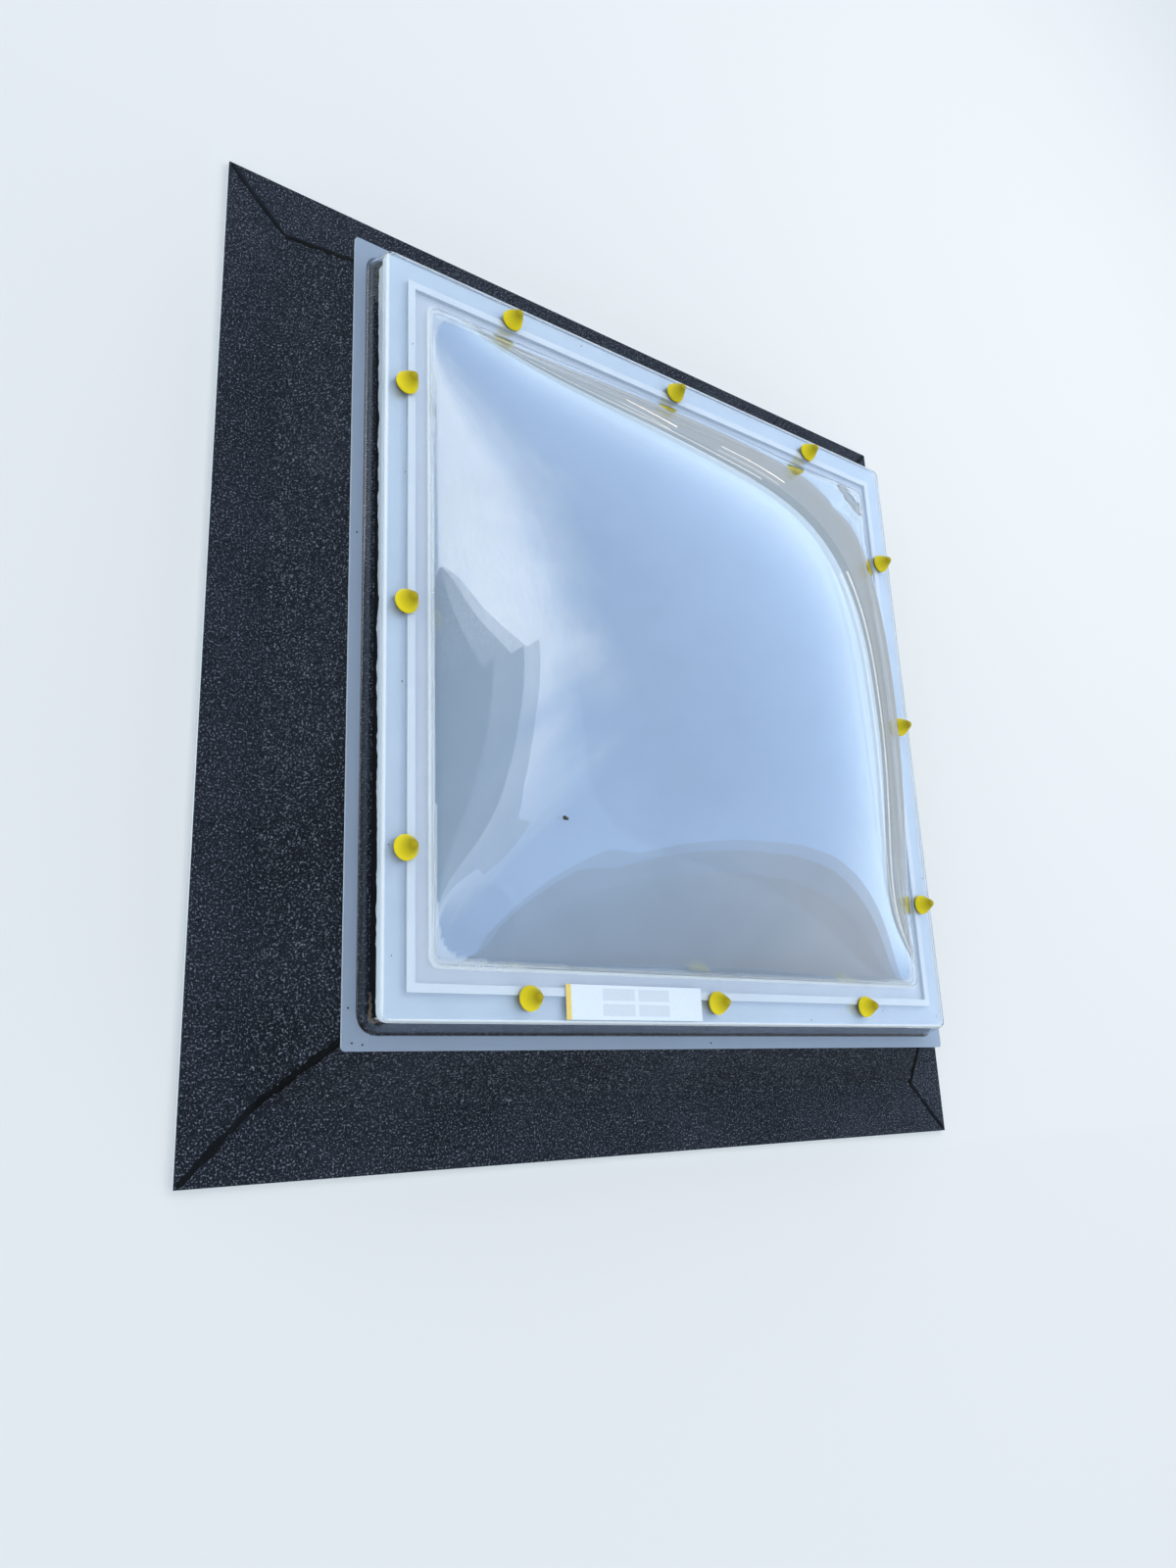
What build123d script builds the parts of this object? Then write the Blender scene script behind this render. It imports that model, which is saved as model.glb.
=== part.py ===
# Flat-roof skylight: a triple-skin blown acrylic dome on a sloping insulated kerb with its felt upturn.
# Millimetres. +Z is up. The origin is the centre of the kerb's underside, on the roof deck.
from build123d import *
from math import acos, atan2, cos, pi, sin
import os

# Kerb: the clear width at its top, how far its inside widens down to the deck, and its section
clear_width = 1042.0
kerb_flare = 79.0
kerb_height = 160.0
kerb_top_width = 53.0
kerb_edge_drop = 24.0
kerb_edge_overhang = 5.0
kerb_wall_at_foot = 76.0
kerb_corner_radius = 8.0
kerb_foot_radius = 18.0
base_flange_width = 95.0
base_flange_thickness = 5.0

# Fixing holes through the base flange: distances in from its edge and from its corners
base_hole_radius = 3.0
base_hole_inset = 40.0
base_hole_end_inset = 211.0

# Felt upturn, in four strips mitred at the corners
felt_thickness = 4.0

# Sheets of the three skins, and the foam tape that parts their flanges
outer_sheet = 3.0
inner_sheet = 2.5
tape_thickness = 3.0
tape_width = 12.0
tape_inset = 37.6

# Outer skin: flange from the rim to the dome, skirt round the kerb, and drip lip at the skirt's foot
skirt_clearance = 3.0
outer_flange_width = 73.0
rim_corner_radius = 14.0
rim_bend_radius = 5.0
skirt_drop = 40.0
skirt_splay = 12.0
lip_reach = 34.0
lip_corner_radius = 6.0
lip_bend_radius = 4.0

# Blown domes: a short upright step, then a pillow that rises to its crown
dome_step = 6.0
dome_corner_radius = 12.0
dome_root_radius = 3.0
dome_shoulder = 1.2
dome_sink = 1.0
outer_rise = 214.0
middle_rise = 190.0
inner_rise = 166.0
crown_thinning = 0.85
skin_side_gap = 12.0
inner_flange_inset = 15.0
inner_flange_corner_radius = 8.0
pillow_order = 2.2
pillow_fullness = 0.82
surface_spans = 16
surface_tolerance = 0.05
surface_margin = 0.5
touch = 0.01

# Screws through the flanges: three a side, with distances in from the rim and from its corners
screw_inset = 33.0
screw_end_inset = 226.0
screws_per_side = 3
screw_radius = 2.75
screw_length = 44.0
screw_head_radius = 5.5
screw_head_height = 4.0
screw_point_length = 5.0
screw_tip_radius = 0.3
flange_hole_clearance = 1.25
pilot_clearance = 0.1

# Sealing washers, with a spigot that the caps press on to
washer_radius = 17.0
washer_thickness = 2.5
spigot_radius = 11.0
spigot_wall = 2.0
spigot_height = 4.0
washer_clearance = 0.25
cap_grip_clearance = 0.2

# Screw caps
cap_radius = 18.0
cap_height = 27.0
cap_nose_radius = 7.0
cap_rim_height = 2.0
cap_wall = 1.8
cap_flank_lean = 0.35
cap_grip_height = 16.0

# Places that follow from the sizes above
kerb_inner_half = clear_width / 2
kerb_top_half = kerb_inner_half + kerb_top_width
opening_half = kerb_inner_half + kerb_flare
foot_half = opening_half + kerb_wall_at_foot
slope_top_half = kerb_top_half - kerb_edge_overhang
base_half = foot_half + base_flange_width
edge_foot_z = kerb_height - kerb_edge_drop
rim_half = kerb_top_half + skirt_clearance + outer_sheet
inner_flange_z = kerb_height + tape_thickness
middle_flange_z = inner_flange_z + inner_sheet + tape_thickness
outer_flange_z = middle_flange_z + inner_sheet + tape_thickness
flange_top = outer_flange_z + outer_sheet
skirt_foot_half = rim_half + skirt_splay
lip_half = rim_half + lip_reach
lip_top = flange_top - skirt_drop
outer_dome_half = rim_half - outer_flange_width
middle_dome_half = outer_dome_half - skin_side_gap
inner_dome_half = middle_dome_half - skin_side_gap
inner_flange_half = rim_half - inner_flange_inset
tape_outer_half = rim_half - tape_inset
tape_inner_half = tape_outer_half - tape_width
screw_line = rim_half - screw_inset
screw_reach = rim_half - screw_end_inset
base_hole_line = base_half - base_hole_inset
base_hole_reach = base_half - base_hole_end_inset
washer_seat = flange_top
head_seat = washer_seat + washer_thickness
flange_hole_radius = screw_radius + flange_hole_clearance


def square(half, radius=0.0):
    """A square face about the origin, with rounded corners if it has a radius."""
    return RectangleRounded(2 * half, 2 * half, radius) if radius else Rectangle(2 * half, 2 * half)


def slab(half, low, high, radius=0.0):
    """A flat square slab between two levels."""
    return extrude(Pos(0, 0, low) * square(half, radius), high - low)


def frustum(low_half, low_radius, low, high_half, high_radius, high):
    """A square block that changes size between two levels."""
    foot = Pos(0, 0, low) * square(low_half, low_radius)
    top = Pos(0, 0, high) * square(high_half, high_radius)
    return loft([foot, top], ruled=True)


def disc(radius, low, high):
    return Pos(0, 0, low) * extrude(Circle(radius), high - low)


def four_sides(shape):
    return [Rot(0, 0, 90 * side) * shape for side in range(4)]


def screw_places():
    """Screw positions, side by side round the skylight."""
    offsets = [screw_reach * (2 * i / (screws_per_side - 1) - 1) for i in range(screws_per_side)]
    return [Rot(0, 0, 90 * side) * Pos(screw_line, y, 0) for side in range(4) for y in offsets]


def at_screws(shape):
    return [place * shape for place in screw_places()]


def pillow_height(u, v):
    """Height of the blown sheet as a share of its rise, for u and v from -1 to 1."""
    return max((1 - abs(u) ** pillow_order) * (1 - abs(v) ** pillow_order), 0.0) ** pillow_fullness


def pillow_face(half, rise, low):
    """The blown sheet's surface over a square, sampled more closely towards its edges."""
    shares = [sin(pi / 2 * (2 * i / surface_spans - 1)) for i in range(surface_spans + 1)]
    rows = [[Vector(half * u, half * v, low + rise * pillow_height(u, v)) for v in shares] for u in shares]
    return Face.make_surface_from_array_of_points(rows, tol=surface_tolerance, min_deg=3, max_deg=3)


def pillow_block(half, radius, rise, low, depth):
    """Everything from the blown surface down to a given depth, trimmed square with rounded corners."""
    block = extrude(pillow_face(half + surface_margin, rise, low), 2 * depth, dir=(0, 0, -1))
    return block & slab(half, low - depth, low + rise + surface_margin, radius)


def blown_sheet(half, radius, sheet, rise, low):
    """The blown part of a skin: a thin pillow with short upright edges, open below."""
    outside = pillow_block(half, radius, rise, low, dome_step)
    hollow_rise = rise - crown_thinning * sheet
    return outside - pillow_block(half - sheet, radius - sheet, hollow_rise, low, dome_step + rise)


def blown_skin(flange, half, sheet, rise, flange_low):
    """A flange with its blown dome, which stands on a short step with rounded corners."""
    level = flange_low + sheet
    step_top = level + dome_step
    skin = flange + slab(half, flange_low, step_top, dome_corner_radius)
    skin = fillet(edges_at(skin, level, half), dome_root_radius)
    skin = fillet(edges_at(skin, step_top, half), dome_shoulder)
    skin -= slab(half - sheet, flange_low, step_top, dome_corner_radius - sheet)
    blown_radius = dome_corner_radius - dome_shoulder
    skin += blown_sheet(half - dome_shoulder, blown_radius, sheet, rise, step_top - dome_sink)
    return skin - at_screws(disc(flange_hole_radius, flange_low, level))


def edges_at(shape, level, half):
    """Edges that lie in a level plane, on or inside a square."""
    return [edge for edge in shape.edges().filter_by_position(Axis.Z, level - touch, level + touch)
            if max(abs(edge.center().X), abs(edge.center().Y)) < half + touch]


def outer_dome():
    """Clear outer skin: dome, flange, skirt and drip lip, formed from one sheet."""
    foot_radius = rim_corner_radius + skirt_splay
    pan = frustum(skirt_foot_half, foot_radius, lip_top, rim_half, rim_corner_radius, flange_top)
    pan = fillet(pan.edges().group_by(Axis.Z)[-1], rim_bend_radius)
    pan += slab(lip_half, lip_top - outer_sheet, lip_top, lip_corner_radius)
    pan = fillet(edges_at(pan, lip_top, skirt_foot_half), lip_bend_radius)
    inside = frustum(skirt_foot_half - outer_sheet, foot_radius - outer_sheet, lip_top - outer_sheet,
                     rim_half - outer_sheet, rim_corner_radius - outer_sheet, outer_flange_z)
    pan -= fillet(inside.edges().group_by(Axis.Z)[-1], rim_bend_radius - outer_sheet)
    return blown_skin(pan, outer_dome_half, outer_sheet, outer_rise, outer_flange_z)


def inner_skin(half, rise, flange_low):
    """A skin inside the outer one: a dome with a flat flange that the screws pass through."""
    flange = slab(inner_flange_half, flange_low, flange_low + inner_sheet, inner_flange_corner_radius)
    return blown_skin(flange, half, inner_sheet, rise, flange_low)


def tape_strips(low):
    """Foam tape round a flange: the left and right strips run through, the others butt on them."""
    middle = (tape_outer_half + tape_inner_half) / 2
    level = low + tape_thickness / 2
    long_strip = Pos(middle, 0, level) * Box(tape_width, 2 * tape_outer_half, tape_thickness)
    short_strip = Pos(0, middle, level) * Box(2 * tape_inner_half, tape_width, tape_thickness)
    return {"right": long_strip, "left": Rot(0, 0, 180) * long_strip,
            "back": short_strip, "front": Rot(0, 0, 180) * short_strip}


def mitred_side(profile):
    """A profile in X and Z run along the right side, and cut on the diagonals."""
    run = extrude(Plane.XZ * profile, base_half, both=True)
    reach = 2 * base_half
    wedge = make_face(Polyline((0, 0), (reach, -reach), (reach, reach), close=True))
    return run & extrude(wedge, kerb_height)


def bend_point(offset):
    """Where the slope meets the base flange, for a face at a distance outside the kerb's own."""
    run = foot_half - slope_top_half
    height = edge_foot_z - base_flange_thickness
    slope = (run**2 + height**2) ** 0.5
    return foot_half + offset * (slope - run) / height, base_flange_thickness + offset


def slope_top_point(offset):
    """Where the slope ends below the kerb's edge, for a face at a distance outside the kerb's own."""
    run = foot_half - slope_top_half
    height = edge_foot_z - base_flange_thickness
    slope = (run**2 + height**2) ** 0.5
    return slope_top_half + offset * slope / height, edge_foot_z


def round_bend(profile, point, radius):
    return fillet(profile.vertices().sort_by_distance((*point, 0))[0], radius)


def kerb_profile():
    """Section of the kerb: base flange, insulated wall, and the edge that the skirt covers."""
    section = make_face(Polyline(
        (opening_half, 0), (base_half, 0), (base_half, base_flange_thickness), bend_point(0),
        slope_top_point(0), (kerb_top_half, edge_foot_z), (kerb_top_half, kerb_height),
        (kerb_inner_half, kerb_height), close=True))
    return round_bend(section, bend_point(0), kerb_foot_radius)


def felt_profile():
    """Section of the felt: over the base flange and up the slope to the kerb's edge."""
    felt_top = base_flange_thickness + felt_thickness
    section = make_face(Polyline(
        bend_point(0), (base_half, base_flange_thickness), (base_half, felt_top),
        bend_point(felt_thickness), slope_top_point(felt_thickness), slope_top_point(0), close=True))
    section = round_bend(section, bend_point(felt_thickness), kerb_foot_radius - felt_thickness)
    return section - kerb_profile()


def base_hole_places():
    """Fixing holes through the base flange, three a side."""
    offsets = (-base_hole_reach, 0, base_hole_reach)
    return [Rot(0, 0, 90 * side) * Pos(base_hole_line, y, 0) for side in range(4) for y in offsets]


def kerb():
    """The moulded kerb, white inside and out, with holes for its fixings and for the dome's screws."""
    sides = four_sides(mitred_side(kerb_profile()))
    body = sides[0] + sides[1:]
    corner = Vector(kerb_top_half, kerb_top_half)
    uprights = [edge for edge in body.edges().filter_by(Axis.Z)
                if (Vector(abs(edge.center().X), abs(edge.center().Y)) - corner).length < touch]
    body = fillet(uprights, kerb_corner_radius)
    pilot_low = head_seat - screw_length - tape_thickness
    body -= at_screws(disc(screw_radius + pilot_clearance, pilot_low, kerb_height))
    return body - [place * disc(base_hole_radius, 0, base_flange_thickness) for place in base_hole_places()]


def fixing_screw():
    """A pan-head screw, from its head on the washer down to its point in the kerb."""
    shank_low = head_seat - screw_length
    head = disc(screw_head_radius, head_seat, head_seat + screw_head_height)
    head = fillet(head.edges().group_by(Axis.Z)[-1], screw_head_height / 2)
    shank = disc(screw_radius, shank_low + screw_point_length, head_seat)
    point = Cone(screw_tip_radius, screw_radius, screw_point_length)
    return head + shank + Pos(0, 0, shank_low + screw_point_length / 2) * point


def sealing_washer():
    """A rubber disc under the screw head, with the ring that the cap presses on to."""
    body = disc(washer_radius, washer_seat, head_seat)
    body += disc(spigot_radius, head_seat, head_seat + spigot_height)
    body -= disc(spigot_radius - spigot_wall, head_seat, head_seat + spigot_height)
    return body - disc(screw_radius + washer_clearance, washer_seat, head_seat)


def cap_form(radius, height, nose_radius, low):
    """A blunt cone on a short upright rim, with a rounded nose."""
    nose_z = height - nose_radius
    rim_z = cap_rim_height
    reach = (radius**2 + (nose_z - rim_z) ** 2) ** 0.5
    angle = acos(nose_radius / reach) - atan2(nose_z - rim_z, radius)
    touch = (nose_radius * cos(angle), nose_z + nose_radius * sin(angle))
    crown = (0, height)
    over = (nose_radius * sin(pi / 4 - angle / 2), nose_z + nose_radius * cos(pi / 4 - angle / 2))
    flank = Spline((radius, rim_z), touch, tangents=((-cap_flank_lean, 1), (-sin(angle), cos(angle))))
    outline = Curve() + [Line((0, 0), (radius, 0)), Line((radius, 0), (radius, rim_z)), flank,
                         ThreePointArc(touch, over, crown), Line(crown, (0, 0))]
    return Pos(0, 0, low) * revolve(Plane.XZ * make_face(outline), Axis.Z)


def screw_cap():
    """A hollow cap with an inner ring that grips the washer."""
    outside = cap_form(cap_radius, cap_height, cap_nose_radius, head_seat)
    hollow = cap_form(cap_radius - cap_wall, cap_height - cap_wall, cap_nose_radius - cap_wall, head_seat)
    grip_radius = spigot_radius + cap_grip_clearance
    ring = disc(grip_radius + cap_wall, head_seat, head_seat + cap_grip_height)
    ring -= disc(grip_radius, head_seat, head_seat + cap_grip_height)
    return (outside - hollow) + (ring & outside)


def write(name, shape):
    """Writes one node, as a group where it is several separate solids."""
    solids = shape.solids()
    node = solids[0] if len(solids) == 1 else Compound(children=list(solids))
    export_step(node, f"parts/{name}.step")


def main():
    os.makedirs("parts", exist_ok=True)
    write("kerb", kerb())
    felt = mitred_side(felt_profile())
    for name, strip in zip(("right", "back", "left", "front"), four_sides(felt)):
        write(f"felt_{name}", strip)
    write("inner_dome", inner_skin(inner_dome_half, inner_rise, inner_flange_z))
    write("middle_dome", inner_skin(middle_dome_half, middle_rise, middle_flange_z))
    write("outer_dome", outer_dome())
    for layer, low in (("lower", kerb_height), ("middle", inner_flange_z + inner_sheet),
                       ("upper", middle_flange_z + inner_sheet)):
        for name, strip in tape_strips(low).items():
            write(f"{layer}_tape_{name}", strip)
    write("fixing_screws", Compound(children=at_screws(fixing_screw())))
    write("sealing_washers", Compound(children=at_screws(sealing_washer())))
    for number, cap in enumerate(at_screws(screw_cap()), 1):
        write(f"screw_cap_{number}", cap)


main()
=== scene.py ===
import math

import bmesh
import bpy
from mathutils import Matrix, Vector, noise


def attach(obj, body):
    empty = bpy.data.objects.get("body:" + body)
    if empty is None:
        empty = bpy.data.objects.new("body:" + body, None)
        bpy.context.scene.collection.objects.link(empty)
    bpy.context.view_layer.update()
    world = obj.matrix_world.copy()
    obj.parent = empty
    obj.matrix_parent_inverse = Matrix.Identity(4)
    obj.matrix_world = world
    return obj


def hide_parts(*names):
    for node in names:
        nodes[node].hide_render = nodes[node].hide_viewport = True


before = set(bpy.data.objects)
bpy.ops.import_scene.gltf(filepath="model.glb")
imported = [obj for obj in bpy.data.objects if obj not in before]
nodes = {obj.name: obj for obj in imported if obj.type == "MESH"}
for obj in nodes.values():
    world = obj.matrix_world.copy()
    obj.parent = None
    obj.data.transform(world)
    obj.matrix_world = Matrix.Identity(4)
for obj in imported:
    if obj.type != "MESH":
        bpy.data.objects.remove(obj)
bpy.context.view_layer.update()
print("frame loaded with", len(nodes), "nodes")


# Small helpers for meshes

def meshObject(name, bm, materials, smoothAngle=35.0):
    for face in bm.faces:
        face.smooth = True
    for edge in bm.edges:
        edge.smooth = edge.calc_face_angle(0.0) < math.radians(smoothAngle)
    mesh = bpy.data.meshes.new(name)
    bm.to_mesh(mesh)
    bm.free()
    piece = bpy.data.objects.new(name, mesh)
    bpy.context.scene.collection.objects.link(piece)
    for material in materials:
        mesh.materials.append(material)
    return piece


def facedOutwards(bm):
    # for an open sheet that lies face up
    bmesh.ops.recalc_face_normals(bm, faces=bm.faces[:])
    if sum(face.normal.z for face in bm.faces) < 0:
        bmesh.ops.reverse_faces(bm, faces=bm.faces[:])


def wobble(point, scale, seed=0.0):
    # smooth noise from about -1 to 1 at a place on the object; the seed slides it along
    return noise.noise(Vector(point) * scale + Vector((seed, 1.7 * seed, -seed)))


def bentRows(corners, steps=6):
    # rows of half width, corner radius and level down a sheet's section, with its bends rounded
    rows = []
    for before, here, after in zip(corners, corners[1:], corners[2:]):
        place = Vector((here["half"], here["level"]))
        back = (Vector((before["half"], before["level"])) - place).normalized()
        ahead = (Vector((after["half"], after["level"])) - place).normalized()
        opening = back.angle(ahead)
        tangent = here["bend"] / math.tan(opening / 2)
        centre = place + (back + ahead).normalized() * (here["bend"] / math.sin(opening / 2))
        start = place + back * tangent - centre
        turn = start.angle_signed(place + ahead * tangent - centre)
        for i in range(steps + 1):
            spot = centre + Matrix.Rotation(-turn * i / steps, 2) @ start
            rows.append({"half": spot.x, "radius": here["radius"] + spot.x - here["half"], "level": spot.y})
    last = corners[-1]
    rows.append({"half": last["half"], "radius": last["radius"], "level": last["level"]})
    return rows


def movedRing(verts, old, new):
    # carries a ring from one rounded square to the next
    for vert in verts:
        for axis in (0, 1):
            straight = old["half"] - old["radius"]
            share = max(-1.0, min(1.0, vert.co[axis] / straight))
            turn = (vert.co[axis] - share * straight) / old["radius"]
            vert.co[axis] = share * (new["half"] - new["radius"]) + turn * new["radius"]
        vert.co.z = new["level"]


# Small helpers for node trees

def setInputs(tree, node, values):
    # by an input's label or number; a value is another node's output, a number, a place or a colour
    for label, value in values.items():
        socket = node.inputs[label]
        if isinstance(value, bpy.types.NodeSocket):
            tree.links.new(value, socket)
        elif socket.type == "RGBA":
            socket.default_value = (*value, 1.0)
        else:
            socket.default_value = value


def addNode(tree, kind, values=None, **settings):
    node = tree.nodes.new(kind)
    for key, value in settings.items():
        setattr(node, key, value)
    setInputs(tree, node, values or {})
    return node


def combined(tree, operation, first, second):
    return addNode(tree, "ShaderNodeMath", {0: first, 1: second}, operation=operation).outputs["Value"]


def mapped(tree, value, span, onto=(0.0, 1.0)):
    # carries a value from one span over to another and holds it at the ends
    ends = {"From Min": span[0], "From Max": span[1], "To Min": onto[0], "To Max": onto[1]}
    return addNode(tree, "ShaderNodeMapRange", {"Value": value, **ends}).outputs["Result"]


def mixColour(tree, factor, first, second):
    # a colour mix has its two colours in inputs 6 and 7, and its colour in output 2
    mix = addNode(tree, "ShaderNodeMix", data_type="RGBA")
    setInputs(tree, mix, {"Factor": factor, 6: first, 7: second})
    return mix.outputs[2]


def mixShaders(tree, factor, first, second):
    return addNode(tree, "ShaderNodeMixShader", {0: factor, 1: first, 2: second}).outputs["Shader"]


def objectPlace(tree):
    return addNode(tree, "ShaderNodeTexCoord").outputs["Object"]


def axesOf(tree, place):
    return addNode(tree, "ShaderNodeSeparateXYZ", {"Vector": place}).outputs


def addBump(tree, shader, height, distance):
    bump = addNode(tree, "ShaderNodeBump", {"Height": height, "Distance": distance, "Strength": 1.0})
    setInputs(tree, shader, {"Normal": bump.outputs["Normal"]})


def newMaterial(name):
    material = bpy.data.materials.new(name)
    material.use_nodes = True
    return material, material.node_tree, material.node_tree.nodes["Principled BSDF"]


# Node groups that more than one material uses

def newGroup(name, inputs, outputs):
    # all of its sockets carry plain numbers
    group = bpy.data.node_groups.new(name, "ShaderNodeTree")
    for label, value in inputs.items():
        socket = group.interface.new_socket(name=label, in_out="INPUT", socket_type="NodeSocketFloat")
        socket.default_value = value
    for label in outputs:
        group.interface.new_socket(name=label, in_out="OUTPUT", socket_type="NodeSocketFloat")
    return group


def useGroup(tree, group, **values):
    return addNode(tree, "ShaderNodeGroup", values, node_tree=group).outputs


def fineGrainGroup():
    # a grain of small specks, and slow patches beside it
    group = newGroup("fineGrain", {"Scale": 400.0, "Patches": 6.0}, ("Grain", "Patch"))
    scales = addNode(group, "NodeGroupInput").outputs
    place = objectPlace(group)
    grain = addNode(group, "ShaderNodeTexNoise", {"Vector": place, "Scale": scales["Scale"],
                                                  "Detail": 3.0, "Roughness": 0.7})
    patch = addNode(group, "ShaderNodeTexNoise", {"Vector": place, "Scale": scales["Patches"], "Detail": 4.0})
    addNode(group, "NodeGroupOutput", {"Grain": grain.outputs["Fac"], "Patch": patch.outputs["Fac"]})
    return group


def settledDustGroup():
    # dust that lies in wide, ragged patches
    group = newGroup("settledDust", {"Amount": 0.3}, ("Dust",))
    amount = addNode(group, "NodeGroupInput").outputs["Amount"]
    wide = addNode(group, "ShaderNodeTexNoise", {"Vector": objectPlace(group), "Scale": 7.0,
                                                 "Detail": 8.0, "Roughness": 0.65})
    spread = mapped(group, wide.outputs["Fac"], (0.42, 0.72))
    addNode(group, "NodeGroupOutput", {"Dust": combined(group, "MULTIPLY", spread, amount)})
    return group


def squareReachGroup():
    # distance from the middle, measured squarely
    group = newGroup("squareReach", {}, ("Reach",))
    size = addNode(group, "ShaderNodeVectorMath", {0: objectPlace(group)}, operation="ABSOLUTE")
    axes = axesOf(group, size.outputs["Vector"])
    addNode(group, "NodeGroupOutput", {"Reach": combined(group, "MAXIMUM", axes["X"], axes["Y"])})
    return group


fineGrain = fineGrainGroup()
settledDust = settledDustGroup()
squareReach = squareReachGroup()
noiseSpan = (0.3, 0.7)  # a noise texture's values hardly leave it


# Clear sheets

refraction = 1.49  # of acrylic
sheetTints = {"dusty": 0.9, "shadow": (0.975, 0.985, 0.99)}


def clearSheet(name, tint, roughness, transmission, dust):
    # glassy sheet that lets the lamps' light through to what lies under it
    material, tree, shader = newMaterial(name)
    dustShare = useGroup(tree, settledDust, Amount=dust)["Dust"]
    dustyTint = tuple(sheetTints["dusty"] * c for c in tint)
    setInputs(tree, shader, {"Base Color": mixColour(tree, dustShare, tint, dustyTint),
                             "Roughness": mapped(tree, dustShare, (0.0, 1.0), roughness),
                             "Transmission Weight": transmission,
                             "IOR": refraction})
    through = addNode(tree, "ShaderNodeBsdfTransparent", {"Color": sheetTints["shadow"]})
    path = addNode(tree, "ShaderNodeLightPath")
    surface = mixShaders(tree, path.outputs["Is Shadow Ray"], shader.outputs["BSDF"], through.outputs["BSDF"])
    setInputs(tree, tree.nodes["Material Output"], {"Surface": surface})
    return material


# each one's tint, roughness where clean and where dusty, transmission and share of dust
clearAcrylic = clearSheet("clearAcrylic", (0.97, 0.985, 1.0), (0.0, 0.012), 1.0, 0.25)
hazedAcrylic = clearSheet("hazedAcrylic", (0.51, 0.61, 0.74), (0.38, 0.52), 0.70, 0.5)
cutEdgeAcrylic = clearSheet("cutEdgeAcrylic", (0.85, 0.92, 1.0), (0.30, 0.42), 0.45, 0.2)
softBendAcrylic = clearSheet("softBendAcrylic", (0.93, 0.97, 1.0), (0.26, 0.36), 0.8, 0.2)
rimBendAcrylic = clearSheet("rimBendAcrylic", (0.88, 0.93, 0.97), (0.22, 0.32), 0.5, 0.2)


# Opal sheet

opal = {"shades": ((0.47, 0.585, 0.735), (0.53, 0.64, 0.785)),
        "paintedKerbLight": ((0.84, 0.93, 0.985), (0.87, 0.95, 0.99)),  # painted light: the white kerb's glow back through the sheet, painted as a lighter copy
        # painted light: paler still between the dome's root and the tape, against the shade under the outer
        # flange
        "paintedInnerLight": (0.96, 0.985, 1.0), "paintedInnerReach": (0.527, 0.533),
        "grain": 120.0, "patches": 2.2, "roughness": (0.005, 0.02),
        # painted pale reflection on the dome's left shoulder, in fine specks
        "paintedReflectionPlace": (-0.445, 0.02, 0.215), "paintedReflectionReach": (0.05, 0.17), "paintedReflectionShare": (0.22, 0.0),
        "paintedReflectionGrain": 360.0, "paintedReflectionSpecks": (0.45, 0.58), "paintedReflectionColour": (0.88, 0.94, 1.0)}


def opalSheet(name, shades, innerLight=None):
    material, tree, shader = newMaterial(name)
    grain = useGroup(tree, fineGrain, Scale=opal["grain"], Patches=opal["patches"])
    colour = mixColour(tree, mapped(tree, grain["Patch"], noiseSpan), *shades)
    # painted light: a paler band inside the tape, where shade falls under the outer flange
    if innerLight:
        reach = mapped(tree, useGroup(tree, squareReach)["Reach"], opal["paintedInnerReach"])
        colour = mixColour(tree, reach, innerLight, colour)
    # a painted pale reflection on its left shoulder, broken into fine specks
    apart = addNode(tree, "ShaderNodeVectorMath", {0: objectPlace(tree), 1: opal["paintedReflectionPlace"]},
                    operation="DISTANCE")
    paintedReflection = mapped(tree, apart.outputs["Value"], opal["paintedReflectionReach"], opal["paintedReflectionShare"])
    specks = useGroup(tree, fineGrain, Scale=opal["paintedReflectionGrain"])["Grain"]
    # where the painted reflection shows, broken into specks
    dusty = combined(tree, "MULTIPLY", mapped(tree, specks, opal["paintedReflectionSpecks"]), paintedReflection)
    setInputs(tree, shader, {"Base Color": mixColour(tree, dusty, colour, opal["paintedReflectionColour"]),
                             "Roughness": mapped(tree, grain["Grain"], (0.0, 1.0), opal["roughness"]),
                             "IOR": refraction})
    return material


# the dome's opal, and a lighter copy with painted light where the white kerb lies under it
opalAcrylic = opalSheet("opalAcrylic", opal["shades"])
opalPaintedLit = opalSheet("opalPaintedKerbLight", opal["paintedKerbLight"], opal["paintedInnerLight"])


# White moulded polyester of the kerb. Black torched edges of the felt show along the foot of its
# upright edge, up to a ragged line.

gelcoat = {"white": (0.84, 0.90, 0.96), "dusty": (0.64, 0.67, 0.68), "dust": 0.35, "patches": 9.0,
           "roughness": (0.25, 0.42), "specular": 0.25, "black": (0.004, 0.005, 0.006),
           "outsideReach": 0.565, "footLevel": 0.12,
           "line": (0.146, 0.156), "lineSpan": (0.2, 0.8), "lineScale": 34.0, "lineDetail": 5.0,
           "lean": (0.003, -0.010), "leanSpan": (-0.58, 0.58),
           "frontFace": -0.5725, "frontDrop": (-0.018, -0.002), "frontSpan": (-0.45, 0.30)}


def torchedLine(tree, place, axes):
    ragged = addNode(tree, "ShaderNodeTexNoise", {"Vector": place, "Scale": gelcoat["lineScale"],
                                                  "Detail": gelcoat["lineDetail"]})
    line = mapped(tree, ragged.outputs["Fac"], gelcoat["lineSpan"], gelcoat["line"])
    lean = mapped(tree, axes["Y"], gelcoat["leanSpan"], gelcoat["lean"])  # lower towards the back
    # on the front edge the white shows down to the felt, most of all at the left
    front = combined(tree, "LESS_THAN", axes["Y"], gelcoat["frontFace"])
    drop = mapped(tree, axes["X"], gelcoat["frontSpan"], gelcoat["frontDrop"])
    frontDrop = combined(tree, "MULTIPLY", front, drop)
    return combined(tree, "ADD", combined(tree, "ADD", line, lean), frontDrop)


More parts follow.
